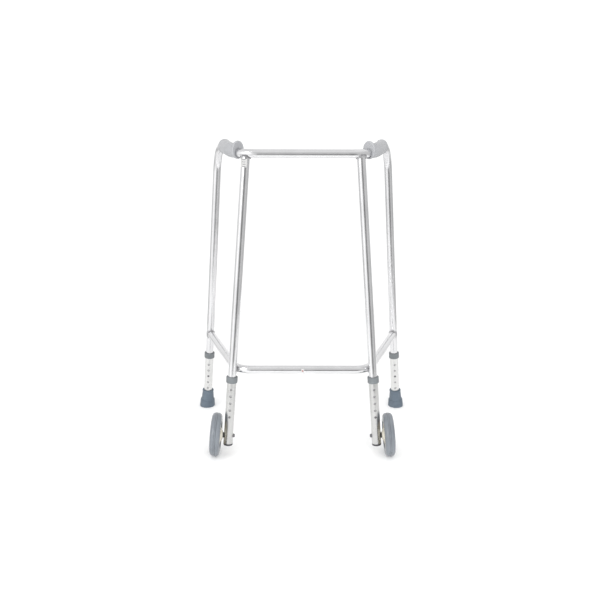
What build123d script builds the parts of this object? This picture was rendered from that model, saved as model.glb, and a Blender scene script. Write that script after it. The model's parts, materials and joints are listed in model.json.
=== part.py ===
from build123d import *
import os
from math import acos, degrees, sqrt, tan

os.makedirs("parts", exist_ok=True)

# Walking frame: a rigid welded aluminium frame with telescopic leg ends, two front wheels
# and two rear ferrules. Millimetres. Origin: the middle of the footprint, on the floor.
# +Z is up, -Y is forwards (the wheels lead), and +X is the user's left.

# Frame tube and the outer sleeves that lengthen each leg
TUBE_R = 11.1
TUBE_BORE_R = 9.6
SLEEVE_R = 12.7
SLEEVE_BORE_R = 11.4

# Lines of the frame, as points on the tube axes: front bar, handles and legs
BAR_Z = 824.0
BAR_Y = -143.7
CORNER_X = 176.0
CORNER_BEND_R = 76.0
REAR_X = 238.1
REAR_Y = BAR_Y + 254.5
REAR_BEND_R = 85.0
REAR_FOOT = (297.9, BAR_Y + 337.8, 0.0)
FRONT_JOINT_X = 146.0
FRONT_FOOT = (207.5, BAR_Y - 15.0, 0.0)

# Lower brace: a level U that is bent round the back of both front legs
BRACE_Z = 246.4
BRACE_Y = BAR_Y - 5.0
BRACE_CORNER_X = 178.0
BRACE_BEND_R = 53.0

# A tube that butts on another stops this far short of its axis, and is coped to its skin
COPE_GAP = 5.0

# Height adjustment: a row of holes in each sleeve and a spring button in each leg tube, which
# reaches a little below it
HOLE_R = 3.4
HOLE_PITCH = 20.0
HOLE_COUNT = 5
FRONT_HOLES_FROM = 115.0
FRONT_SETTING = 0
REAR_HOLES_FROM = 68.0
REAR_SETTING = 2
FRONT_TUBE_BELOW = 14.0
REAR_TUBE_BELOW = 50.0
BUTTON_R = 3.1
BUTTON_PROUD = 1.9
BUTTON_SHOULDER = (7.2, 8.2)
BUTTON_SHOULDER_R = 4.4
CLIP_WIDTH = 8.0
CLIP_THICKNESS = 0.8
CLIP_ARM = 6.8
CLIP_BACK = 8.2
CLIP_TOP = 36.0

# Sleeves and the collars round their tops, as distances up the leg's axis from the floor
FRONT_SLEEVE = (36.0, 227.0)
REAR_SLEEVE = (12.0, 183.0)
COLLAR_R = 15.4
COLLAR_HEIGHT = 17.0
COLLAR_LIP = 2.0
CAP_PLUG = 9.0
CAP_FLANGE = 6.0

# Wheels, with distances out along the axle from the leg's axis
TYRE_R = 59.6
TYRE_BORE_R = 38.0
TYRE_HALF_WIDTH = 14.0
TREAD_RIB_HALF = 1.2
TREAD_RIB_HEIGHT = 0.5
WHEEL_OFFSET = 34.5
HUB_OUTER_REACH = 6.0
HUB_RIM_R = 34.0
HUB_RIM_HALF = 11.0
HUB_WEB_HALF = 1.8
HUB_BOSS_R = 10.5
HUB_SHOULDER_R = 18.5
HUB_RIBS = 8
HUB_RIB_HALF = 1.1
AXLE_BOLT_R = 3.0
AXLE_SLEEVE_R = 5.0
RUNNING_CLEARANCE = 0.05
END_FLOAT = 0.4
WASHER_R = 7.5
WASHER_THICKNESS = 2.6
BOLT_HEAD_R = 6.0
BOLT_HEAD_HEIGHT = 3.6
NUT_ACROSS_FLATS = 10.0
NUT_HEX_HEIGHT = 2.0
NUT_DOME_R = 4.6
NUT_DOME_HEIGHT = 2.8

# Ferrules, as distances up the leg's axis from the floor
FERRULE_TOP = 57.0
FERRULE_STEP = 23.5
FERRULE_BORE_FLOOR = 10.0
FERRULE_TOP_R = 17.0
FERRULE_NECK_R = 19.4
FERRULE_SHOULDER_R = 21.8
FERRULE_BASE_R = 23.2
TREAD_GROOVES = ((18.0, 20.0), (11.5, 13.5), (5.0, 7.0))
TREAD_GROOVE_DEPTH = 2.5

# Handgrips: pushed along the handle until their front end is part of the way round the bend.
# Body and flanges are ovals, each a half width, a half height and a rise above the tube's axis
GRIP_BEND_START = 40.5
GRIP_STRAIGHT = 86.0
GRIP_BODY = (16.6, 18.7, 4.6)
FRONT_FLANGE = (20.5, 22.9, 7.3)
REAR_FLANGE = (17.8, 19.9, 4.4)
FLANGE_THICKNESS = 4.0

# Welds and labels
BEAD = 2.8
LABEL_THICKNESS = 0.3
LEG_LABEL = (792.0, 813.0)
LEG_LABEL_WIDTH = 15.0
LEG_LABEL_OUTWARDS = 3.0
BRACE_LABEL_WIDTH = 7.0
BRACE_LABEL_HEIGHT = 10.0


def leg_frame(foot, top):
    """A leg's own frame: z runs up its axis from the floor, x points outwards, y to the rear."""
    up = (Vector(*top) - Vector(*foot)).normalized()
    return Plane(origin=foot, x_dir=Vector(0, 1, 0).cross(up), z_dir=up)


def along(leg, height):
    """The point on a leg's axis at a distance up it."""
    return leg.origin + leg.z_dir * height


def front_plane(leg, height=0.0):
    """A plane on the leg's axis that faces forwards: its x points outwards and its y up the leg."""
    return Plane(origin=along(leg, height), x_dir=leg.x_dir, z_dir=-leg.y_dir)


def side_plane(leg, height):
    """A plane on the leg's axis that faces inwards: its x points forwards and its y up the leg."""
    return Plane(origin=along(leg, height), x_dir=-leg.y_dir, z_dir=-leg.x_dir)


def mirrored(point):
    return (-point[0], point[1], point[2])


def write(piece, name):
    piece.part.label = name
    export_step(piece.part, f"parts/{name}.step")


def write_pair(piece, name):
    """Writes the left-hand piece and its mirror image on the right."""
    write(piece, f"left_{name}")
    with BuildPart() as twin:
        mirror(piece.part, about=Plane.YZ)
    write(twin, f"right_{name}")


def bent_bar(route, bends, radius):
    """A solid round bar along straight runs joined by bends."""
    with BuildPart() as bar:
        with BuildLine() as line:
            FilletPolyline(*route, radius=bends)
        with BuildSketch(Plane(origin=line.line @ 0, z_dir=line.line % 0)):
            Circle(radius)
        sweep()
    return bar


def straight_bar(leg, low, high, radius):
    """A solid round bar on a leg's axis."""
    with BuildPart() as bar:
        with BuildSketch(leg.offset(low)):
            Circle(radius)
        extrude(amount=high - low)
    return bar


def both_sides(piece):
    """A left-hand piece together with its mirror image."""
    with BuildPart() as pair:
        add(piece.part)
        mirror(about=Plane.YZ)
    return pair


# ------------------------------------------------------------------ places on the frame
corner_turn = acos((REAR_X - CORNER_X) / sqrt((REAR_X - CORNER_X) ** 2 + (REAR_Y - BAR_Y) ** 2))
bend_centre = (CORNER_X - CORNER_BEND_R * tan(corner_turn / 2), BAR_Y + CORNER_BEND_R)
joint_setback = CORNER_BEND_R - sqrt(CORNER_BEND_R**2 - (FRONT_JOINT_X - bend_centre[0]) ** 2)
front_joint = (FRONT_JOINT_X, BAR_Y + joint_setback, BAR_Z)
rear_vertex = (REAR_X, REAR_Y, BAR_Z)

front_leg = leg_frame(FRONT_FOOT, front_joint)
rear_leg = leg_frame(REAR_FOOT, rear_vertex)
front_button = FRONT_HOLES_FROM + FRONT_SETTING * HOLE_PITCH
rear_button = REAR_HOLES_FROM + REAR_SETTING * HOLE_PITCH
rear_end = tuple(along(rear_leg, rear_button - REAR_TUBE_BELOW))
front_length = (Vector(*front_joint) - front_leg.origin).length
brace_on_front = BRACE_Z / front_leg.z_dir.Z
brace_on_rear = BRACE_Z / rear_leg.z_dir.Z
brace_corner = Vector(BRACE_CORNER_X, BRACE_Y, BRACE_Z)
brace_run = along(rear_leg, brace_on_rear) - brace_corner
brace_end = tuple(brace_corner + brace_run * (1 - COPE_GAP / brace_run.length))

top_route = [
    mirrored(rear_end),
    mirrored(rear_vertex),
    (-CORNER_X, BAR_Y, BAR_Z),
    (CORNER_X, BAR_Y, BAR_Z),
    rear_vertex,
    rear_end,
]
top_bends = [REAR_BEND_R, CORNER_BEND_R, CORNER_BEND_R, REAR_BEND_R]
brace_route = [
    mirrored(brace_end),
    mirrored(tuple(brace_corner)),
    tuple(brace_corner),
    brace_end,
]
brace_bends = [BRACE_BEND_R, BRACE_BEND_R]

# ------------------------------------------------------------------ welded frame
top_bar = bent_bar(top_route, top_bends, TUBE_R)
brace_bar = bent_bar(brace_route, brace_bends, TUBE_R)
front_bar = straight_bar(
    front_leg, front_button - FRONT_TUBE_BELOW, front_length - COPE_GAP, TUBE_R
)


def button_hole(leg, height):
    """The cutter for a spring button's hole, from a leg's axis out through the front wall."""
    with BuildPart() as cutter:
        with BuildSketch(front_plane(leg, height)):
            Circle(HOLE_R)
        extrude(amount=2 * SLEEVE_R)
    return cutter


# One tube makes the front bar, both handles and both rear legs
with BuildPart() as top_tube:
    add(top_bar.part)
    add(bent_bar(top_route, top_bends, TUBE_BORE_R).part, mode=Mode.SUBTRACT)
    add(both_sides(button_hole(rear_leg, rear_button)).part, mode=Mode.SUBTRACT)
write(top_tube, "top_tube")

# Each front leg is coped to the underside of the bar, in its corner bend
with BuildPart() as front_leg_tube:
    add(front_bar.part)
    with BuildSketch(front_leg):
        Circle(TUBE_BORE_R)
    extrude(amount=front_length, mode=Mode.SUBTRACT)
    add(top_bar.part, mode=Mode.SUBTRACT)
    add(button_hole(front_leg, front_button).part, mode=Mode.SUBTRACT)
write_pair(front_leg_tube, "front_leg_tube")

# The brace passes behind the front legs and is coped to the front of the rear legs
with BuildPart() as lower_brace:
    add(brace_bar.part)
    add(bent_bar(brace_route, brace_bends, TUBE_BORE_R).part, mode=Mode.SUBTRACT)
    add(top_bar.part, mode=Mode.SUBTRACT)
write(lower_brace, "lower_brace")

# Weld beads fill the corner between two tubes, as the shell that both tubes' skins share
thick_top = bent_bar(top_route, top_bends, TUBE_R + BEAD)
thick_brace = bent_bar(brace_route, brace_bends, TUBE_R + BEAD)
weld_places = (
    (thick_top, front_leg, front_length - 4 * TUBE_R, front_length - COPE_GAP / 2),
    (thick_brace, front_leg, brace_on_front - 2 * TUBE_R, brace_on_front + 2 * TUBE_R),
    (thick_brace, rear_leg, brace_on_rear - 2 * TUBE_R, brace_on_rear + 2 * TUBE_R),
)


def weld_bead(thick, leg, low, high):
    """The bead between a leg and a tube whose thickened bar is given, within two heights."""
    with BuildPart() as bead:
        add(straight_bar(leg, low, high, TUBE_R + BEAD).part)
        add(thick.part, mode=Mode.INTERSECT)
        add(straight_bar(leg, low - 1, high + 1, TUBE_R).part, mode=Mode.SUBTRACT)
        add(top_bar.part, mode=Mode.SUBTRACT)
        add(brace_bar.part, mode=Mode.SUBTRACT)
    return bead


with BuildPart() as welds:
    for place in weld_places:
        add(weld_bead(*place).part)
write(both_sides(welds), "weld_beads")

# ------------------------------------------------------------------ handgrips
with BuildPart() as handgrip:
    with BuildLine(Plane.XY.offset(BAR_Z)) as handle:
        grip_turn = degrees(corner_turn) - GRIP_BEND_START
        bend = CenterArc(bend_centre, CORNER_BEND_R, GRIP_BEND_START - 90, grip_turn)
        Line(bend @ 1, (bend @ 1) + (bend % 1) * GRIP_STRAIGHT)
    front_end = Plane(origin=handle.line @ 0, x_dir=(0, 0, 1), z_dir=handle.line % 0)
    rear_end_plane = Plane(origin=handle.line @ 1, x_dir=(0, 0, 1), z_dir=handle.line % 1)
    for end, oval, depth in (
        (front_end, GRIP_BODY, None),
        (front_end, FRONT_FLANGE, FLANGE_THICKNESS),
        (rear_end_plane, REAR_FLANGE, -FLANGE_THICKNESS),
    ):
        half_width, half_height, rise = oval
        with BuildSketch(end):
            with Locations((rise, 0)):
                Ellipse(half_height, half_width)
        if depth:
            extrude(amount=depth)
        else:
            sweep(path=handle.line)
    add(top_bar.part, mode=Mode.SUBTRACT)
write_pair(handgrip, "handgrip")


# ------------------------------------------------------------------ leg ends
def adjusting_sleeve(leg, low, high, holes_from, axle=None):
    """The outer tube of a leg end, with its row of holes at the front and any axle holes."""
    with BuildPart() as sleeve:
        with BuildSketch(leg.offset(low)):
            Circle(SLEEVE_R)
            Circle(SLEEVE_BORE_R, mode=Mode.SUBTRACT)
        extrude(amount=high - low)
        with BuildSketch(front_plane(leg)):
            with Locations([(0, holes_from + i * HOLE_PITCH) for i in range(HOLE_COUNT)]):
                Circle(HOLE_R)
        extrude(amount=2 * SLEEVE_R, mode=Mode.SUBTRACT)
        if axle:
            with BuildSketch(side_plane(leg, axle)):
                Circle(AXLE_BOLT_R + RUNNING_CLEARANCE)
            extrude(amount=2 * SLEEVE_R, both=True, mode=Mode.SUBTRACT)
    return sleeve


def leg_collar(leg, sleeve_top):
    """A ring round the top of a sleeve, whose lip closes the gap to the leg tube."""
    low = sleeve_top + COLLAR_LIP - COLLAR_HEIGHT
    with BuildPart() as collar:
        with BuildSketch(leg.offset(low)):
            Circle(COLLAR_R)
        extrude(amount=COLLAR_HEIGHT)
        fillet(collar.edges(), radius=1.6)
        with BuildSketch(leg.offset(low)):
            Circle(SLEEVE_R)
        extrude(amount=COLLAR_HEIGHT - COLLAR_LIP, mode=Mode.SUBTRACT)
        with BuildSketch(leg.offset(low)):
            Circle(SLEEVE_BORE_R)
        extrude(amount=COLLAR_HEIGHT, mode=Mode.SUBTRACT)
    return collar


def snap_button(leg, height):
    """A domed button in the leg tube that stands out through a hole in the sleeve."""
    face = front_plane(leg, height)
    shoulder_low, shoulder_high = BUTTON_SHOULDER
    with BuildPart() as button:
        with BuildSketch(face.offset(shoulder_high)):
            Circle(BUTTON_R)
        extrude(amount=SLEEVE_R + BUTTON_PROUD - shoulder_high)
        fillet(button.edges().sort_by(Axis(face.origin, face.z_dir))[-1], radius=BUTTON_PROUD)
        with BuildSketch(face.offset(shoulder_low)):
            Circle(BUTTON_SHOULDER_R)
        extrude(amount=shoulder_high - shoulder_low)
    return button


def spring_clip(leg, height):
    """The V-shaped leaf spring behind a button: one arm carries it, the other bears on the tube."""
    with BuildPart() as clip:
        with BuildSketch(side_plane(leg, height)):
            with BuildLine():
                FilletPolyline(
                    (CLIP_ARM, -8),
                    (CLIP_ARM, 8),
                    (3, CLIP_TOP),
                    (-3, CLIP_TOP),
                    (-CLIP_BACK, 8),
                    (-CLIP_BACK, -8),
                    radius=2.4,
                )
            trace(line_width=CLIP_THICKNESS)
        extrude(amount=CLIP_WIDTH / 2, both=True)
    return clip


leg_ends = (
    ("front", front_leg, FRONT_SLEEVE, FRONT_HOLES_FROM, front_button),
    ("rear", rear_leg, REAR_SLEEVE, REAR_HOLES_FROM, rear_button),
)

# The wheel stands on the floor when its tread rib's lower edge does
axle_tilt = front_leg.x_dir.Z
axle_z = (TYRE_R + TREAD_RIB_HEIGHT) * sqrt(1 - axle_tilt**2) + TREAD_RIB_HALF * axle_tilt
axle_height = (axle_z - WHEEL_OFFSET * axle_tilt) / front_leg.z_dir.Z

for place, leg, (low, high), holes_from, button_at in leg_ends:
    axle = axle_height if place == "front" else None
    write_pair(adjusting_sleeve(leg, low, high, holes_from, axle), f"{place}_sleeve")
    write_pair(leg_collar(leg, high), f"{place}_collar")
    write_pair(snap_button(leg, button_at), f"{place}_snap_button")
    write_pair(spring_clip(leg, button_at), f"{place}_spring_clip")

# ------------------------------------------------------------------ front end caps
cap_low = FRONT_SLEEVE[0] - CAP_FLANGE
with BuildPart() as end_cap:
    with BuildSketch(front_leg.offset(cap_low)):
        Circle(SLEEVE_R)
    extrude(amount=CAP_FLANGE)
    fillet(end_cap.edges().sort_by(Axis.Z)[0], radius=1.8)
    with BuildSketch(front_leg.offset(FRONT_SLEEVE[0])):
        Circle(SLEEVE_BORE_R)
    extrude(amount=CAP_PLUG)
write_pair(end_cap, "end_cap")

# ------------------------------------------------------------------ wheels and axles
axle_point = along(front_leg, axle_height)
axle_axis = Axis(axle_point, front_leg.x_dir)
wheel_centre = axle_point + front_leg.x_dir * WHEEL_OFFSET
# Section through the wheel: x is the radius from the axle, and y runs outwards along it
wheel_section = Plane(origin=wheel_centre, x_dir=front_leg.z_dir, z_dir=front_leg.y_dir)
hub_outer = WHEEL_OFFSET + HUB_OUTER_REACH
hub_inner_reach = WHEEL_OFFSET - SLEEVE_R - WASHER_THICKNESS - END_FLOAT

with BuildPart() as tyre:
    with BuildSketch(wheel_section) as section:
        with Locations(((TYRE_R + TYRE_BORE_R) / 2, 0)):
            Rectangle(TYRE_R - TYRE_BORE_R, 2 * TYRE_HALF_WIDTH)
        fillet(section.vertices().group_by(Axis.X)[-1], radius=TYRE_HALF_WIDTH - 2)
        fillet(section.vertices().group_by(Axis.X)[0], radius=2)
        with Locations((TYRE_R, 0)):
            Rectangle(2 * TREAD_RIB_HEIGHT, 2 * TREAD_RIB_HALF)
    revolve(axis=axle_axis)
write_pair(tyre, "tyre")

with BuildPart() as hub:
    with BuildSketch(wheel_section):
        with BuildLine():
            Polyline(
                (AXLE_SLEEVE_R + RUNNING_CLEARANCE, HUB_OUTER_REACH),
                (HUB_BOSS_R, HUB_OUTER_REACH),
                (HUB_BOSS_R + 1, HUB_WEB_HALF),
                (HUB_RIM_R, HUB_WEB_HALF),
                (HUB_RIM_R, HUB_RIM_HALF),
                (TYRE_BORE_R, HUB_RIM_HALF),
                (TYRE_BORE_R, -HUB_RIM_HALF),
                (HUB_RIM_R, -HUB_RIM_HALF),
                (HUB_RIM_R, -HUB_WEB_HALF),
                (HUB_SHOULDER_R + 1, -HUB_WEB_HALF),
                (HUB_SHOULDER_R, -TYRE_HALF_WIDTH),
                (HUB_BOSS_R, -hub_inner_reach),
                (AXLE_SLEEVE_R + RUNNING_CLEARANCE, -hub_inner_reach),
                close=True,
            )
        make_face()
    revolve(axis=axle_axis)
    for i in range(HUB_RIBS):
        spoke = front_leg.z_dir.rotate(Axis((0, 0, 0), front_leg.x_dir), i * 360 / HUB_RIBS)
        rib_plane = Plane(wheel_centre, x_dir=spoke, z_dir=spoke.cross(front_leg.x_dir))
        with BuildSketch(rib_plane):
            with BuildLine():
                Polyline(
                    (HUB_BOSS_R - 1, HUB_OUTER_REACH),
                    (HUB_RIM_R + 1, HUB_RIM_HALF - 1),
                    (HUB_RIM_R + 1, 1 - HUB_RIM_HALF),
                    (HUB_SHOULDER_R - 1, -TYRE_HALF_WIDTH),
                    close=True,
                )
            make_face()
        extrude(amount=HUB_RIB_HALF, both=True)
write_pair(hub, "hub")

# The wheel turns on this sleeve, which the bolt clamps between the two washers. The bolt's head
# lies in the hub's hollow outer face, inside the width of the tyre
sleeve_start = SLEEVE_R + WASHER_THICKNESS
sleeve_stop = hub_outer + END_FLOAT
axle_plane = Plane(origin=axle_point, x_dir=front_leg.z_dir, z_dir=front_leg.x_dir)
with BuildPart() as axle_sleeve:
    with BuildSketch(axle_plane.offset(sleeve_start)):
        Circle(AXLE_SLEEVE_R)
        Circle(AXLE_BOLT_R + RUNNING_CLEARANCE, mode=Mode.SUBTRACT)
    extrude(amount=sleeve_stop - sleeve_start)
write_pair(axle_sleeve, "axle_sleeve")

with BuildPart() as axle_washers:
    for start in (SLEEVE_R, sleeve_stop):
        with BuildSketch(axle_plane.offset(start)):
            Circle(WASHER_R)
            Circle(AXLE_BOLT_R + RUNNING_CLEARANCE, mode=Mode.SUBTRACT)
        extrude(amount=WASHER_THICKNESS)
write_pair(axle_washers, "axle_washers")

head_start = sleeve_stop + WASHER_THICKNESS
with BuildPart() as axle_bolt:
    with BuildSketch(axle_plane.offset(head_start)):
        Circle(BOLT_HEAD_R)
    extrude(amount=BOLT_HEAD_HEIGHT)
    fillet(axle_bolt.edges().sort_by(axle_axis)[-1], radius=BOLT_HEAD_HEIGHT - 0.6)
    with BuildSketch(axle_plane.offset(head_start + BOLT_HEAD_HEIGHT)):
        RegularPolygon(radius=2, side_count=6, major_radius=False)
    extrude(amount=-2, mode=Mode.SUBTRACT)
    with BuildSketch(axle_plane.offset(-SLEEVE_R - NUT_HEX_HEIGHT)):
        Circle(AXLE_BOLT_R)
    extrude(until=Until.NEXT)
write_pair(axle_bolt, "axle_bolt")

with BuildPart() as dome_nut:
    with BuildSketch(axle_plane.offset(-SLEEVE_R)):
        RegularPolygon(radius=NUT_ACROSS_FLATS / 2, side_count=6, major_radius=False)
    extrude(amount=-NUT_HEX_HEIGHT)
    with BuildSketch(axle_plane.offset(-SLEEVE_R - NUT_HEX_HEIGHT)):
        Circle(NUT_DOME_R)
    extrude(amount=-NUT_DOME_HEIGHT)
    fillet(dome_nut.edges().sort_by(axle_axis)[0], radius=NUT_DOME_HEIGHT - 0.4)
    with BuildSketch(axle_plane.offset(-SLEEVE_R)):
        Circle(AXLE_BOLT_R)
    extrude(amount=-NUT_HEX_HEIGHT, mode=Mode.SUBTRACT)
write_pair(dome_nut, "dome_nut")

# ------------------------------------------------------------------ ferrules
with BuildPart() as ferrule:
    with BuildSketch(front_plane(rear_leg)):
        with BuildLine():
            Polyline(
                (0, -8),
                (FERRULE_BASE_R, -8),
                (FERRULE_BASE_R, 3),
                (FERRULE_SHOULDER_R, FERRULE_STEP),
                (FERRULE_NECK_R, FERRULE_STEP),
                (FERRULE_TOP_R, FERRULE_TOP),
                (SLEEVE_R, FERRULE_TOP),
                (SLEEVE_R, FERRULE_BORE_FLOOR),
                (0, FERRULE_BORE_FLOOR),
                close=True,
            )
        make_face()
    revolve(axis=Axis(rear_leg.origin, rear_leg.z_dir))
    split(bisect_by=Plane.XY, keep=Keep.TOP)
    with BuildSketch(Plane(origin=rear_leg.origin)):
        for inner, outer in TREAD_GROOVES:
            Circle(outer)
            Circle(inner, mode=Mode.SUBTRACT)
    extrude(amount=TREAD_GROOVE_DEPTH, mode=Mode.SUBTRACT)
write_pair(ferrule, "ferrule")

with BuildPart() as ferrule_washer:
    with BuildSketch(rear_leg.offset(FERRULE_BORE_FLOOR)):
        Circle(SLEEVE_R - 0.1)
    extrude(amount=REAR_SLEEVE[0] - FERRULE_BORE_FLOOR)
write_pair(ferrule_washer, "ferrule_washer")

# ------------------------------------------------------------------ blank labels
with BuildPart() as leg_label:
    with BuildSketch(front_leg.offset(LEG_LABEL[0])):
        Circle(TUBE_R + LABEL_THICKNESS)
        Circle(TUBE_R, mode=Mode.SUBTRACT)
        with Locations((LEG_LABEL_OUTWARDS, -TUBE_R)):
            Rectangle(LEG_LABEL_WIDTH, 2 * TUBE_R, mode=Mode.INTERSECT)
    extrude(amount=LEG_LABEL[1] - LEG_LABEL[0])
with BuildPart() as right_leg_label:
    mirror(leg_label.part, about=Plane.YZ)
write(right_leg_label, "leg_label")

with BuildPart() as brace_label:
    label_start = (-BRACE_LABEL_WIDTH / 2, BRACE_Y, BRACE_Z)
    with BuildSketch(Plane(origin=label_start, x_dir=(0, 1, 0), z_dir=(1, 0, 0))):
        Circle(TUBE_R + LABEL_THICKNESS)
        Circle(TUBE_R, mode=Mode.SUBTRACT)
        with Locations((-TUBE_R, 0)):
            Rectangle(2 * TUBE_R, BRACE_LABEL_HEIGHT, mode=Mode.INTERSECT)
    extrude(amount=BRACE_LABEL_WIDTH)
write(brace_label, "brace_label")
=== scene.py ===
import json
from math import acos, atan2, cos, pi, radians, sin, sqrt, tan

import bpy
from mathutils import Matrix, Vector


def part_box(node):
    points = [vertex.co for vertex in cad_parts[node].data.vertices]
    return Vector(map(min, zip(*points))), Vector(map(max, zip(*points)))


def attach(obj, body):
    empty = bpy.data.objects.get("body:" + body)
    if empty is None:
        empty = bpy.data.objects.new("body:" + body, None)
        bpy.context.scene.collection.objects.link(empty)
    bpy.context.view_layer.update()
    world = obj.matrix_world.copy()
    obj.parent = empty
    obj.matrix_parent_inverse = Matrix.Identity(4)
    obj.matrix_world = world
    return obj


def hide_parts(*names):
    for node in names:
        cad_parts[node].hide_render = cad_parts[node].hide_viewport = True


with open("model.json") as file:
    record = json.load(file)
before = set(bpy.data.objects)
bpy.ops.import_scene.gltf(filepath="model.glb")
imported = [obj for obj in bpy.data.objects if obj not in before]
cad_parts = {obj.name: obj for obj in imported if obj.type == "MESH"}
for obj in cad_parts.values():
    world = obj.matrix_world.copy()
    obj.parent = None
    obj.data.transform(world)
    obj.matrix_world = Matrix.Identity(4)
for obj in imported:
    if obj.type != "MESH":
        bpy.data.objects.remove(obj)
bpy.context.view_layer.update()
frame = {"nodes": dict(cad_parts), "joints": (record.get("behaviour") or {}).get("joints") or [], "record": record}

# The walking frame's visual model, in metres, in the CAD's own frame: +Z up, -Y forwards,
# +X the user's left. The metal parts are the CAD nodes with better materials. Grips, tyres,
# ferrules and weld beads are replaced by finer meshes that sit where their CAD solids do.

nodes = frame["nodes"]
mounts = {m["name"]: m for m in frame["record"]["mounts"]}
joints = {j["name"]: j for j in frame["joints"]}

TUBE_R = 0.0111
CORNER_BEND_R = 0.076

# Handgrip: from part of the way round the bend, along the handle. Each section is a half width,
# a half height and how far its middle is raised above the tube's
GRIP_BEND_START = radians(40.5)
GRIP_STRAIGHT = 0.086
GRIP_BODY = (0.0166, 0.0187, 0.0046)
FRONT_FLANGE = (0.0205, 0.0229, 0.0073)
REAR_FLANGE = (0.0178, 0.0199, 0.0044)
FLANGE_EDGE = 0.0034
FLANGE_FLARE = 0.0050

WHEEL_OFFSET = 0.0345
SIDES = {"left": 1, "right": -1}


# ------------------------------------------------------------------ mesh helpers
def mirrored(vector, side):
    """A left-hand vector, on the side whose sign is given."""
    return Vector((vector[0] * side, vector[1], vector[2]))


def shade_smooth(mesh):
    for polygon in mesh.polygons:
        polygon.use_smooth = True


def mesh_object(name, vertices, faces):
    """A smooth-shaded object from vertices and faces, its normals pointing outwards."""
    mesh = bpy.data.meshes.new(name)
    mesh.from_pydata([tuple(v) for v in vertices], [], faces)
    mesh.validate()
    piece = bpy.data.objects.new(name, mesh)
    bpy.context.scene.collection.objects.link(piece)
    bpy.context.view_layer.objects.active = piece
    piece.select_set(True)
    bpy.ops.object.mode_set(mode="EDIT")
    bpy.ops.mesh.select_all(action="SELECT")
    bpy.ops.mesh.normals_make_consistent(inside=False)
    bpy.ops.object.mode_set(mode="OBJECT")
    piece.select_set(False)
    shade_smooth(mesh)
    return piece


def ring_faces(rings, around, closed):
    """Quads between rings of points; the last ring joins the first if the surface is closed."""
    faces = []
    for i in range(rings if closed else rings - 1):
        for j in range(around):
            a, b = i * around, (i + 1) % rings * around
            k = (j + 1) % around
            faces.append((a + j, a + k, b + k, b + j))
    return faces


def rounded(profile, steps=4, keep=0.5):
    """An open profile with its corners eased into short curves; a point may carry a radius."""
    points = [profile[0][:2]]
    for before, here, after in zip(profile, profile[1:], profile[2:]):
        radius = here[2] if len(here) > 2 else 0
        corner = Vector(here[:2])
        back, ahead = Vector(before[:2]) - corner, Vector(after[:2]) - corner
        if radius == 0 or back.length * ahead.length == 0:
            points.append(tuple(corner))
            continue
        reach = min(radius, keep * back.length, keep * ahead.length)
        start, stop = corner + back.normalized() * reach, corner + ahead.normalized() * reach
        for i in range(steps + 1):
            t = i / steps
            points.append(tuple(start * (1 - t) ** 2 + corner * 2 * t * (1 - t) + stop * t**2))
    points.append(profile[-1][:2])
    return points


def spokes(axis, radius, count):
    """Vectors of one length, evenly spaced round an axis."""
    across = axis.orthogonal().normalized()
    other = axis.cross(across)
    angles = [2 * pi * j / count for j in range(count)]
    return [(across * cos(angle) + other * sin(angle)) * radius for angle in angles]


def turned(name, section, origin, axis, segments):
    """A ring turned about an axis from a closed section of (radius, distance along it) points."""
    axis = axis.normalized()
    vertices = []
    for radius, height in section:
        vertices += [origin + axis * height + spoke for spoke in spokes(axis, radius, segments)]
    return mesh_object(name, vertices, ring_faces(len(section), segments, closed=True))


# ------------------------------------------------------------------ materials
# The range that a noise's values mostly fall in
NOISE_SPAN = (0.3, 0.7)


def new_material(name):
    """A material with its node tree and its shader."""
    material = bpy.data.materials.new(name)
    material.use_nodes = True
    tree = material.node_tree
    shader = tree.nodes["Principled BSDF"]
    return material, tree, shader


def node(tree, kind, **settings):
    """A new node with its own settings, such as its operation."""
    made = tree.nodes.new(kind)
    for key, value in settings.items():
        setattr(made, key, value)
    return made


def place(tree, stretch=(1, 1, 1)):
    """Object coordinates, which are the frame's own, drawn out along an axis by a small scale."""
    coords = node(tree, "ShaderNodeTexCoord")
    mapping = node(tree, "ShaderNodeMapping")
    mapping.inputs["Scale"].default_value = stretch
    tree.links.new(coords.outputs["Object"], mapping.inputs["Vector"])
    return mapping.outputs["Vector"]


def height_above(tree, low, high):
    """0 below one height and 1 above another."""
    parts = node(tree, "ShaderNodeSeparateXYZ")
    tree.links.new(place(tree), parts.inputs["Vector"])
    return spread(tree, parts.outputs["Z"], 0, 1, (low, high))


def noise(tree, vector, scale, detail, roughness):
    made = node(tree, "ShaderNodeTexNoise")
    made.inputs["Scale"].default_value = scale
    made.inputs["Detail"].default_value = detail
    made.inputs["Roughness"].default_value = roughness
    tree.links.new(vector, made.inputs["Vector"])
    return made.outputs["Fac"]


def spread(tree, value, low, high, span=NOISE_SPAN):
    """A value remapped, so that the span it is given runs from low to high."""
    made = node(tree, "ShaderNodeMapRange")
    made.inputs["From Min"].default_value, made.inputs["From Max"].default_value = span
    made.inputs["To Min"].default_value = low
    made.inputs["To Max"].default_value = high
    tree.links.new(value, made.inputs["Value"])
    return made.outputs["Result"]


def blend_colours(tree, value, dark, light):
    """A dark tone where a noise is low, and a light one where it is high."""
    ramp = node(tree, "ShaderNodeValToRGB")
    low, high = ramp.color_ramp.elements
    low.position, high.position = NOISE_SPAN
    low.color, high.color = (*dark, 1), (*light, 1)
    tree.links.new(value, ramp.inputs["Fac"])
    return ramp.outputs["Color"]


def bump(tree, shader, height, strength, distance):
    """Relief from a height, joined to the shader's normal."""
    made = node(tree, "ShaderNodeBump")
    made.inputs["Strength"].default_value = strength
    made.inputs["Distance"].default_value = distance
    tree.links.new(height, made.inputs["Height"])
    tree.links.new(made.outputs["Normal"], shader.inputs["Normal"])


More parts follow.
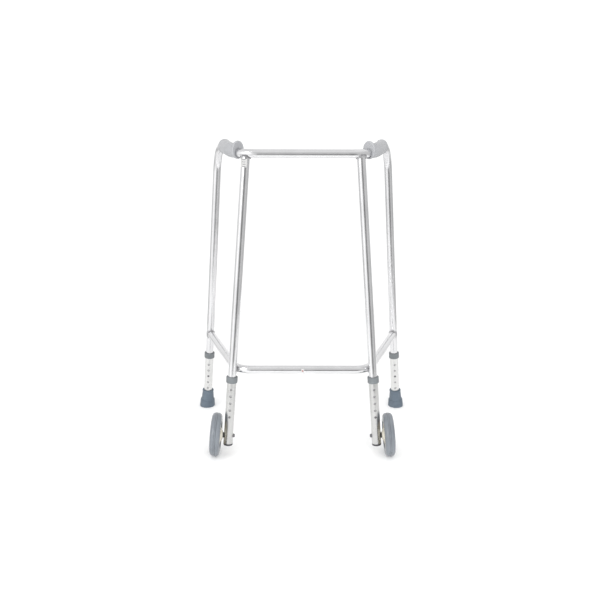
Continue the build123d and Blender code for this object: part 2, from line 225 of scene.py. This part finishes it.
# Each noise is its scale, detail and roughness
LINE_NOISE, LINE_STRETCH = (900, 3.0, 0.6), 0.012
LINE_STRENGTH, LINE_DEPTH = 0.10, 0.00006
HANDLING_NOISE = (14, 5.0, 0.55)
LINE_SHARE, MIXED_SPAN = 0.35, (0.45, 0.85)
# Heights between which the top tube's legs bend over into its handles
BEND_HEIGHTS = (0.75, 0.81)
# How far the edge of the painted shade on the length of tube inside a sleeve fades
SLEEVE_SHADE_EDGE = 0.006


def drawn_aluminium(name, tones, gloss_range, upright=True, level=True, sleeve_shade=None):
    """Satin anodised tube: fine draw lines along its length, with faint cloudy handling marks.

    The length that works inside a sleeve is darkened, as painted shade for the shadow inside the sleeve: the
    last argument is the height that it reaches up to, and its tone.
    """
    material, tree, shader = new_material(name)
    up_lines = noise(tree, place(tree, (1, 1, LINE_STRETCH)), *LINE_NOISE)
    level_lines = noise(tree, place(tree, (LINE_STRETCH, LINE_STRETCH, 1)), *LINE_NOISE)
    lines = up_lines if upright else level_lines
    if upright and level:
        choose = node(tree, "ShaderNodeMix", data_type="FLOAT")
        tree.links.new(height_above(tree, *BEND_HEIGHTS), choose.inputs["Factor"])
        tree.links.new(up_lines, choose.inputs["A"])
        tree.links.new(level_lines, choose.inputs["B"])
        lines = choose.outputs["Result"]
    clouds = noise(tree, place(tree), *HANDLING_NOISE)
    mixed = node(tree, "ShaderNodeMath", operation="MULTIPLY_ADD")
    mixed.inputs[1].default_value = LINE_SHARE
    tree.links.new(lines, mixed.inputs[0])
    tree.links.new(clouds, mixed.inputs[2])
    colour = blend_colours(tree, clouds, *tones)
    # painted shade: the tube is darkened below the height where it goes into its sleeve, for the shadow inside the
    # sleeve
    if sleeve_shade:
        shade_to, shade_tone = sleeve_shade
        inside_shade = node(tree, "ShaderNodeMix", data_type="RGBA")
        inside_shade.inputs["A"].default_value = (*shade_tone, 1)
        above = height_above(tree, shade_to, shade_to + SLEEVE_SHADE_EDGE)
        tree.links.new(above, inside_shade.inputs["Factor"])
        tree.links.new(colour, inside_shade.inputs["B"])
        colour = inside_shade.outputs["Result"]
    tree.links.new(colour, shader.inputs["Base Color"])
    gloss = spread(tree, mixed.outputs[0], *gloss_range, MIXED_SPAN)
    tree.links.new(gloss, shader.inputs["Roughness"])
    shader.inputs["Metallic"].default_value = 1.0
    bump(tree, shader, lines, LINE_STRENGTH, LINE_DEPTH)
    return material


MOTTLE_NOISE = (26, 5.0, 0.6)
GRAIN_DETAIL, GRAIN_STRENGTH = (3.0, 0.55), 0.35
SHEEN_ROUGHNESS = 0.5


def grained(name, dark, light, gloss_range, grain, depth, metallic, sheen):
    """Plastic, rubber, vinyl or small metal: mottled colour, a fine grain and uneven gloss."""
    material, tree, shader = new_material(name)
    clouds = noise(tree, place(tree), *MOTTLE_NOISE)
    fine = noise(tree, place(tree), grain, *GRAIN_DETAIL)
    tree.links.new(blend_colours(tree, clouds, dark, light), shader.inputs["Base Color"])
    tree.links.new(spread(tree, fine, *gloss_range), shader.inputs["Roughness"])
    shader.inputs["Metallic"].default_value = metallic
    if sheen:
        shader.inputs["Sheen Weight"].default_value = sheen
        shader.inputs["Sheen Roughness"].default_value = SHEEN_ROUGHNESS
    bump(tree, shader, fine, GRAIN_STRENGTH, depth)
    return material


# Dark and light tones of the drawn tubes, and their roughness ranges
TUBE_TONES = (0.70, 0.70, 0.71), (0.79, 0.79, 0.80)
TUBE_GLOSS = (0.16, 0.26)
# The sleeves are one finish in two tones, as painted light: the front sleeves darker and the rear sleeves lighter,
# for how brightly each is lit
SLEEVE_TONES = (0.54, 0.54, 0.535), (0.62, 0.62, 0.61)
LIT_REAR_SLEEVE_TONES = (0.68, 0.68, 0.675), (0.76, 0.76, 0.75)
SLEEVE_GLOSS = (0.22, 0.34)
# The height that the painted shade on the length of tube inside each sleeve reaches up to, and its tone
FRONT_SLEEVE_SHADE = 0.218, (0.38, 0.38, 0.385)
REAR_SLEEVE_SHADE = 0.176, (0.50, 0.50, 0.505)
# Each slot's material name, dark and light tones, roughness range, grain's scale and depth,
# whether it is metal, and its sheen
GRAINED = {
    "weld_aluminium": (
        "weld_metal", (0.26, 0.26, 0.27), (0.72, 0.72, 0.73), (0.24, 0.48), 500, 0.0002, 1, 0
    ),
    "grip_vinyl": (
        "grip_vinyl", (0.31, 0.315, 0.329), (0.362, 0.368, 0.382), (0.42, 0.6), 1500, 0.00008, 0, 0.15
    ),
    "collar_plastic": (
        "collar_grey", (0.122, 0.135, 0.143), (0.172, 0.186, 0.195), (0.38, 0.55), 1100, 0.00008, 0, 0
    ),
    "cap_plastic": (
        "cap_black", (0.035, 0.035, 0.04), (0.06, 0.06, 0.065), (0.4, 0.6), 1000, 0.00006, 0, 0
    ),
    "button_steel": (
        "button_steel", (0.16, 0.16, 0.17), (0.3, 0.3, 0.31), (0.25, 0.4), 700, 0.00003, 1, 0
    ),
    "spring_steel": (
        "spring_steel", (0.28, 0.29, 0.32), (0.42, 0.43, 0.46), (0.22, 0.4), 700, 0.00003, 1, 0
    ),
    "wheel_tyre": (
        "tyre_grey", (0.142, 0.157, 0.177), (0.19, 0.208, 0.23), (0.16, 0.28), 1300, 0.00006, 0, 0
    ),
    "wheel_hub": (
        "hub_cream", (0.6, 0.57, 0.49), (0.69, 0.66, 0.575), (0.28, 0.45), 700, 0.00004, 0, 0
    ),
    "axle_steel": (
        "axle_zinc", (0.48, 0.48, 0.49), (0.66, 0.66, 0.68), (0.24, 0.42), 600, 0.00003, 1, 0
    ),
    "washer_plastic": (
        "washer_black", (0.02, 0.02, 0.02), (0.05, 0.048, 0.045), (0.4, 0.6), 900, 0.00003, 0, 0
    ),
    "nut_plastic": (
        "nut_dark", (0.09, 0.09, 0.095), (0.15, 0.15, 0.155), (0.32, 0.5), 900, 0.00003, 0, 0
    ),
    "ferrule_rubber": (
        "ferrule_rubber", (0.078, 0.102, 0.131), (0.115, 0.148, 0.182), (0.42, 0.64), 1200, 0.0001, 0, 0
    ),
    "label_vinyl": (
        "label_white", (0.46, 0.46, 0.455), (0.52, 0.52, 0.51), (0.3, 0.42), 500, 0.00002, 0, 0
    ),
}
finishes = {slot: grained(*settings) for slot, settings in GRAINED.items()}
finishes["frame_aluminium"] = drawn_aluminium("satin_tube", TUBE_TONES, TUBE_GLOSS, sleeve_shade=REAR_SLEEVE_SHADE)
finishes["sleeve_aluminium"] = drawn_aluminium("satin_sleeve", SLEEVE_TONES, SLEEVE_GLOSS, level=False)


def printed_label(name, label, colour, half_width, bars, bar_share):
    """White film with plain level bars across its middle, each a share of the bars' pitch."""
    low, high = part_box(label)
    material = finishes["label_vinyl"].copy()
    material.name = name
    tree = material.node_tree
    shader = tree.nodes["Principled BSDF"]
    film = shader.inputs["Base Color"].links[0].from_socket
    parts = node(tree, "ShaderNodeSeparateXYZ")
    tree.links.new(place(tree), parts.inputs["Vector"])
    beside = node(tree, "ShaderNodeMath", operation="COMPARE")
    beside.inputs[1].default_value = (low[0] + high[0]) / 2
    beside.inputs[2].default_value = half_width
    tree.links.new(parts.outputs["X"], beside.inputs[0])
    rows = spread(tree, parts.outputs["Z"], 0, bars, (low[2], high[2]))
    row = node(tree, "ShaderNodeMath", operation="FRACT")
    tree.links.new(rows, row.inputs[0])
    within = node(tree, "ShaderNodeMath", operation="COMPARE")
    within.inputs[1].default_value = 1 / 2
    within.inputs[2].default_value = bar_share / 2
    tree.links.new(row.outputs[0], within.inputs[0])
    both = node(tree, "ShaderNodeMath", operation="MULTIPLY")
    tree.links.new(beside.outputs[0], both.inputs[0])
    tree.links.new(within.outputs[0], both.inputs[1])
    printed = node(tree, "ShaderNodeMix", data_type="RGBA")
    printed.inputs["B"].default_value = (*colour, 1)
    tree.links.new(both.outputs[0], printed.inputs["Factor"])
    tree.links.new(film, printed.inputs["A"])
    tree.links.new(printed.outputs["Result"], shader.inputs["Base Color"])
    return material


slots = {entry["node"]: entry["material_slot"] for entry in frame["record"]["subparts"]}
leg_finish = drawn_aluminium("satin_leg", TUBE_TONES, TUBE_GLOSS, level=False, sleeve_shade=FRONT_SLEEVE_SHADE)
# painted light: the rear sleeves take a lighter copy of the sleeve finish, as they are lit more brightly
lit_rear_sleeve_finish = drawn_aluminium("satin_rear_lit", LIT_REAR_SLEEVE_TONES, SLEEVE_GLOSS, level=False)
own_finish = {
    "left_rear_sleeve": lit_rear_sleeve_finish,
    "right_rear_sleeve": lit_rear_sleeve_finish,
    "left_front_leg_tube": leg_finish,
    "right_front_leg_tube": leg_finish,
    "lower_brace": drawn_aluminium("satin_brace", TUBE_TONES, TUBE_GLOSS, upright=False),
    "brace_label": printed_label("brace_print", "brace_label", (0.30, 0.05, 0.05), 0.0018, 1, 0.36),
    "leg_label": printed_label("leg_print", "leg_label", (0.16, 0.16, 0.17), 0.0045, 4, 0.35),
}
for name, cad_node in nodes.items():
    cad_node.data.materials.clear()
    cad_node.data.materials.append(own_finish.get(name, finishes[slots[name]]))


def dress(piece, slot_name, body, *replaced):
    """Finishes a new piece: its material, the body it moves with and the nodes it stands for."""
    piece.data.materials.append(finishes[slot_name])
    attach(piece, body)
    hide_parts(*replaced)


# ------------------------------------------------------------------ handgrips
bar = Vector(mounts["front_bar"]["pos_m"])
handle_on = Vector(mounts["left_handle"]["pos_m"])
handle_way = Vector(mounts["left_handle"]["axis"]).normalized()
corner_turn = acos(handle_way.x)
corner_x = handle_on.x - (handle_on.y - bar.y) * handle_way.x / handle_way.y
bend_centre = Vector((corner_x - CORNER_BEND_R * tan(corner_turn / 2), bar.y + CORNER_BEND_R, bar.z))
bend_length = (corner_turn - GRIP_BEND_START) * CORNER_BEND_R
grip_length = bend_length + GRIP_STRAIGHT


def grip_line(run):
    """A point on the tube's axis at a distance from the grip's front end, and its direction."""
    angle = GRIP_BEND_START + min(run, bend_length) / CORNER_BEND_R
    direction = Vector((cos(angle), sin(angle), 0))
    point = bend_centre + Vector((sin(angle), -cos(angle), 0)) * CORNER_BEND_R
    return point + direction * max(0, run - bend_length), direction


def reach_of_ellipse(angle, half_width, half_height, rise):
    """How far a ray from the tube's axis runs to an ellipse whose centre is raised."""
    across, up = cos(angle) / half_width, sin(angle) / half_height
    lift = rise / half_height
    square, product = across**2 + up**2, up * lift
    return (product + sqrt(product**2 - square * (lift**2 - 1))) / square


def smooth(t):
    """A soft step from 0 to 1."""
    t = max(0.0, min(1.0, t))
    return t * t * (3 - 2 * t)


def grip_section(run):
    """The grip's half width, half height and rise: two flanges that flare out of the body."""
    front = 1 - smooth((run - FLANGE_EDGE) / FLANGE_FLARE)
    rear = 1 - smooth((grip_length - run - FLANGE_EDGE) / FLANGE_FLARE)
    return [
        body + (at_front - body) * front + (at_rear - body) * rear
        for body, at_front, at_rear in zip(GRIP_BODY, FRONT_FLANGE, REAR_FLANGE)
    ]


GRIP_AROUND, GRIP_ALONG = 64, 60
GRIP_BORE = TUBE_R + 0.0001
GRIP_EDGE, EDGE_SHARE = 0.0014, 0.16
# From the bore outwards: how far the dished end face lies in, and the share of the wall's height
END_FACE = [(0.0010, 0.0), (0.0004, 0.10), (0.0008, 0.45), (0.0, 0.72)]


def handgrip(name, side):
    """A hollow moulded grip: its bore on the tube, rounded flange edges and dished end faces."""
    around, along, bore, edge = GRIP_AROUND, GRIP_ALONG, GRIP_BORE, GRIP_EDGE
    turns = (pi / 8, pi / 4, 3 * pi / 8)
    end = END_FACE + [(edge * (1 - cos(a)), 1 - EDGE_SHARE * (1 - sin(a))) for a in turns]
    runs = end + [(edge + (grip_length - 2 * edge) * i / along, 1.0) for i in range(along + 1)]
    runs += [(grip_length - run, filled) for run, filled in reversed(end)]
    vertices = []
    for run, filled in runs:
        centre, direction = grip_line(run)
        out = Vector((direction.y, -direction.x, 0))
        section = grip_section(run)
        for j in range(around):
            angle = 2 * pi * j / around
            radius = bore + (reach_of_ellipse(angle, *section) - bore) * filled
            point = centre + out * cos(angle) * radius + Vector((0, 0, sin(angle) * radius))
            vertices.append(mirrored(point, side))
    return mesh_object(name, vertices, ring_faces(len(runs), around, closed=True))


for word, side in SIDES.items():
    dress(handgrip(f"{word}_moulded_grip", side), "grip_vinyl", "frame", f"{word}_handgrip")


# ------------------------------------------------------------------ tyres
# Half a tyre's section from its bore to the middle of the tread, as (radius, distance out,
# corner radius): a bead ring by the rim, full shoulders, and a fine rib round the tread
TYRE_PROFILE = [
    (0.0380, 0.0),
    (0.0380, 0.0138, 0.0020),
    (0.0412, 0.0138, 0.0004),
    (0.0415, 0.0133, 0.0004),
    (0.0426, 0.0133, 0.0004),
    (0.0430, 0.0139, 0.0006),
    (0.0596, 0.0139, 0.0127),
    (0.0596, 0.0012, 0.0003),
    (0.0601, 0.0009, 0.0003),
    (0.0601, 0.0),
]


def tyre(name, axle, out):
    """A tyre turned about its axle, from half a section and its mirror image."""
    half = rounded(TYRE_PROFILE, steps=9, keep=1.0)
    section = half + [(radius, -away) for radius, away in reversed(half[1:-1])]
    return turned(name, section, axle + out * WHEEL_OFFSET, out, segments=144)


for word in SIDES:
    hinge = joints[f"{word}_wheel_spin"]
    axle, out = Vector(hinge["pos_m"]), Vector(hinge["axis"])
    dress(tyre(f"{word}_grey_tyre", axle, out), "wheel_tyre", f"{word}_wheel", f"{word}_tyre")


# ------------------------------------------------------------------ ferrules
# From the floor of the bore up to a mouth lip, then down a tapering neck, a ledge with a rolled
# edge over a groove, and the base; each point is (radius, height up the leg, corner radius)
FERRULE_PROFILE = [
    (0.0128, 0.0100),
    (0.0128, 0.0564),
    (0.0132, 0.0570, 0.0003),
    (0.0166, 0.0570, 0.0008),
    (0.0172, 0.0560, 0.0008),
    (0.0174, 0.0528, 0.0005),
    (0.0168, 0.0521, 0.0005),
    (0.0190, 0.0242, 0.0020),
    (0.0214, 0.0238, 0.0010),
    (0.0220, 0.0222, 0.0010),
    (0.0219, 0.0206, 0.0006),
    (0.0213, 0.0200, 0.0004),
    (0.0213, 0.0192, 0.0004),
    (0.0222, 0.0184, 0.0008),
    (0.0229, 0.0070, 0.0010),
    (0.0232, 0.0050, 0.0010),
    (0.0232, 0.0020, 0.0010),
]
TREAD_RINGS = ((0.0180, 0.0200), (0.0115, 0.0135), (0.0050, 0.0070))
TREAD_DEPTH, TREAD_DRAFT, TREAD_R = 0.0025, 0.0003, 0.0228
BASE_EDGE = 0.0012
FERRULE_AROUND = 72


def ferrule(name, foot, up):
    """A rubber foot turned about the leg, cut level with the floor, with rings in its tread."""
    vertices = []
    for radius, height in rounded(FERRULE_PROFILE):
        for spoke in spokes(up, radius, FERRULE_AROUND):
            point = foot + spoke + up * height
            # the base leans with the leg, so its lower side is drawn up to the floor
            vertices.append(point + up * max(0, BASE_EDGE - point.z) / up.z)
    tread = [(TREAD_R, 0.0)]
    for inner, outer in TREAD_RINGS:
        tread += [(outer, 0.0), (outer - TREAD_DRAFT, TREAD_DEPTH)]
        tread += [(inner + TREAD_DRAFT, TREAD_DEPTH), (inner, 0.0)]
    for radius, height in tread:
        for spoke in spokes(up, radius, FERRULE_AROUND):
            vertices.append(foot + Vector((spoke.x, spoke.y, height)))
    faces = ring_faces(len(vertices) // FERRULE_AROUND, FERRULE_AROUND, closed=False)
    faces.append(tuple(range(FERRULE_AROUND)))
    faces.append(tuple(range(len(vertices) - FERRULE_AROUND, len(vertices))))
    return mesh_object(name, vertices, faces)


for word in SIDES:
    foot = Vector(mounts[f"{word}_ferrule_base"]["pos_m"])
    up = -Vector(joints[f"{word}_rear_leg_slide"]["axis"])
    rubber = ferrule(f"{word}_rubber_ferrule", foot, up)
    dress(rubber, "ferrule_rubber", f"{word}_rear_leg_end", f"{word}_ferrule")


# ------------------------------------------------------------------ weld beads
# The mesh's grid, the ripples' pitch and height, how far the beads' middles stand off the tube,
# and the brace's height above the floor
VOXEL = 0.0005
RIPPLE_PITCH = 0.0024
RIPPLE_HEIGHT = 0.00028
BEAD_REACH = 0.001
BRACE_Z = 0.2464


def on_line(point, direction, height):
    """The point on a line at a height above the floor."""
    return point + direction * ((height - point.z) / direction.z)


def weld_seams():
    """Each seam as its middle and the axis that it runs round."""
    seams = []
    for word in SIDES:
        axle = Vector(joints[f"{word}_wheel_spin"]["pos_m"])
        front_up = -Vector(joints[f"{word}_front_leg_slide"]["axis"])
        foot = Vector(mounts[f"{word}_ferrule_base"]["pos_m"])
        rear_up = -Vector(joints[f"{word}_rear_leg_slide"]["axis"])
        crossing = on_line(axle, front_up, BRACE_Z)
        brace_end = on_line(foot, rear_up, BRACE_Z)
        seams.append((on_line(axle, front_up, bar.z - TUBE_R), front_up))
        seams.append((crossing, (brace_end - crossing).normalized()))
        seams.append((brace_end, (brace_end - crossing).normalized()))
    return seams


def rippled_welds():
    """The CAD beads with the overlapping crescents that a welder's dabs leave round each seam."""
    rough = bpy.data.objects.new("welds_draft", nodes["weld_beads"].data.copy())
    bpy.context.scene.collection.objects.link(rough)
    remesh = rough.modifiers.new("even", "REMESH")
    remesh.mode = "VOXEL"
    remesh.voxel_size = VOXEL
    soften = rough.modifiers.new("soften", "SMOOTH")
    soften.iterations = 3
    evaluated = rough.evaluated_get(bpy.context.evaluated_depsgraph_get())
    mesh = bpy.data.meshes.new_from_object(evaluated)
    bpy.data.objects.remove(rough)
    welds = bpy.data.objects.new("rippled_welds", mesh)
    bpy.context.scene.collection.objects.link(welds)
    seams = weld_seams()
    moves = []
    for vertex in mesh.vertices:
        middle, axis = min(seams, key=lambda seam: (vertex.co - seam[0]).length)
        away = vertex.co - middle
        along = away.dot(axis)
        spoke = away - axis * along
        across = axis.orthogonal().normalized()
        turn = atan2(spoke.dot(axis.cross(across)), spoke.dot(across))
        # the crests run back along the seam, as crescents
        arc = turn * (TUBE_R + BEAD_REACH) + abs(along) / 2
        moves.append(vertex.normal * RIPPLE_HEIGHT * cos(2 * pi * arc / RIPPLE_PITCH))
    for vertex, move in zip(mesh.vertices, moves):
        vertex.co += move
    shade_smooth(mesh)
    return welds


dress(rippled_welds(), "weld_aluminium", "frame", "weld_beads")


# ------------------------------------------------------------------ studio and camera
WHITE = (1, 1, 1, 1)
FLOOR_R, FLOOR_BACK, FLOOR_SIDES = 1.05, 0.24, 96
FLOOR_TONES = (0.90, 0.90, 0.90), (0.93, 0.93, 0.93)
FLOOR_NOISE = (3, 2.0, 0.4)
FLOOR_ROUGHNESS, FLOOR_GLOW = 0.7, 0.05
floor_mesh = bpy.data.meshes.new("floor")
floor_angles = [2 * pi * i / FLOOR_SIDES for i in range(FLOOR_SIDES)]
floor_ring = [(FLOOR_R * cos(angle), FLOOR_R * sin(angle), 0) for angle in floor_angles]
floor_mesh.from_pydata(floor_ring, [], [tuple(range(FLOOR_SIDES))])
floor = bpy.data.objects.new("floor", floor_mesh)
floor.location.y = FLOOR_BACK
bpy.context.scene.collection.objects.link(floor)
floor_material, floor_tree, floor_shader = new_material("floor_white")
floor_clouds = noise(floor_tree, place(floor_tree), *FLOOR_NOISE)
floor_colour = blend_colours(floor_tree, floor_clouds, *FLOOR_TONES)
floor_tree.links.new(floor_colour, floor_shader.inputs["Base Color"])
floor_shader.inputs["Roughness"].default_value = FLOOR_ROUGHNESS
floor_shader.inputs["Emission Color"].default_value = WHITE
floor_shader.inputs["Emission Strength"].default_value = FLOOR_GLOW
floor_mesh.materials.append(floor_material)


def lobe(tree, direction, inner, outer):
    """How far a world direction lies inside a soft round patch: 1 in its middle, 0 outside."""
    coords = node(tree, "ShaderNodeTexCoord")
    dot = node(tree, "ShaderNodeVectorMath", operation="DOT_PRODUCT")
    dot.inputs[1].default_value = Vector(direction).normalized()
    tree.links.new(coords.outputs["Generated"], dot.inputs[0])
    made = node(tree, "ShaderNodeMapRange", interpolation_type="SMOOTHSTEP")
    made.inputs["From Min"].default_value = cos(radians(outer))
    made.inputs["From Max"].default_value = cos(radians(inner))
    tree.links.new(dot.outputs["Value"], made.inputs["Value"])
    return made.outputs["Result"]


# The studio: pale all round, brighter on the left, dimmer on the right and overhead, with a dark
# gap low behind the camera and smaller ones at the sides and back, which give the tubes their
# contrast. Each patch is a direction, its inner and outer half angles and its strength
WORLD_LEVEL, SKY_LEVEL = 1.0, 1.1
PATCHES = (
    ((-0.80, -0.75, -0.05), 12, 34, 0.30),
    ((1.0, -0.25, -0.1), 25, 70, -0.30),
    ((0.16, -0.95, -0.26), 11, 27, -0.68),
    ((0.05, -0.86, 0.42), 6, 40, -0.26),
    ((0.42, 0.86, -0.34), 6, 20, -0.50),
    ((-0.55, 0.78, -0.34), 5, 19, -0.42),
    ((0.95, 0.15, -0.32), 5, 19, -0.25),
    ((-0.94, 0.20, -0.32), 5, 19, -0.40),
    ((-0.25, 0.30, 0.92), 8, 34, -0.14),
)
world = bpy.data.worlds.new("studio")
world.use_nodes = True
tree = world.node_tree
brightness = node(tree, "ShaderNodeValue").outputs["Value"]
brightness.default_value = WORLD_LEVEL
for direction, inner, outer, strength in PATCHES:
    patch = node(tree, "ShaderNodeMath", operation="MULTIPLY_ADD")
    patch.inputs[1].default_value = strength
    tree.links.new(lobe(tree, direction, inner, outer), patch.inputs[0])
    tree.links.new(brightness, patch.inputs[2])
    brightness = patch.outputs["Value"]
background = tree.nodes["Background"]
tree.links.new(brightness, background.inputs["Strength"])
background.inputs["Color"].default_value = WHITE
# what the camera sees behind the frame is plain white
sky = node(tree, "ShaderNodeBackground")
sky.inputs["Color"].default_value = WHITE
sky.inputs["Strength"].default_value = SKY_LEVEL
rays = node(tree, "ShaderNodeLightPath")
choose = node(tree, "ShaderNodeMixShader")
tree.links.new(rays.outputs["Is Camera Ray"], choose.inputs[0])
tree.links.new(background.outputs[0], choose.inputs[1])
tree.links.new(sky.outputs[0], choose.inputs[2])
tree.links.new(choose.outputs[0], tree.nodes["World Output"].inputs["Surface"])
bpy.context.scene.world = world
bpy.context.scene.view_settings.view_transform = "Standard"


def area_light(name, place_at, aim, size, power):
    """A soft rectangular light that faces a point."""
    light = bpy.data.lights.new(name, "AREA")
    light.shape = "RECTANGLE"
    light.size, light.size_y = size
    light.energy = power
    lamp = bpy.data.objects.new(name, light)
    lamp.location = place_at
    lamp.rotation_euler = (Vector(aim) - Vector(place_at)).to_track_quat("-Z", "Y").to_euler()
    bpy.context.scene.collection.objects.link(lamp)
    return lamp


area_light("key_panel", (-1.7, -1.9, 1.5), (0, 0, 0.4), (0.5, 1.8), 17)
# the fill lights the plastics only: its own reflection would blow out the tubes
fill = area_light("fill_panel", (0.5, -2.6, 1.3), (0, 0, 0.5), (2.6, 1.6), 66)
fill.visible_glossy = False

# The camera stands in front of the frame, a little above the handles and just off its middle
CAMERA_AT = Vector((-0.0180, bar.y - 2.1669, 1.0451))
SENSOR_WIDTH, FOCAL_LENGTH = 36, 50.83
PITCH, YAW, ROLL = -0.2734, 0.006, 0.0035
ahead = Vector((sin(YAW) * cos(PITCH), cos(YAW) * cos(PITCH), sin(PITCH)))
level_right = Vector((cos(YAW), -sin(YAW), 0))
level_up = level_right.cross(ahead)
camera_right = level_right * cos(ROLL) + level_up * sin(ROLL)
camera_up = level_up * cos(ROLL) - level_right * sin(ROLL)
camera_data = bpy.data.cameras.new("camera")
camera_data.sensor_width = SENSOR_WIDTH
camera_data.lens = FOCAL_LENGTH
camera = bpy.data.objects.new("camera", camera_data)
camera_axes = Matrix((camera_right, camera_up, -ahead)).transposed()
camera.matrix_world = Matrix.Translation(CAMERA_AT) @ camera_axes.to_4x4()
bpy.context.scene.collection.objects.link(camera)
bpy.context.scene.camera = camera
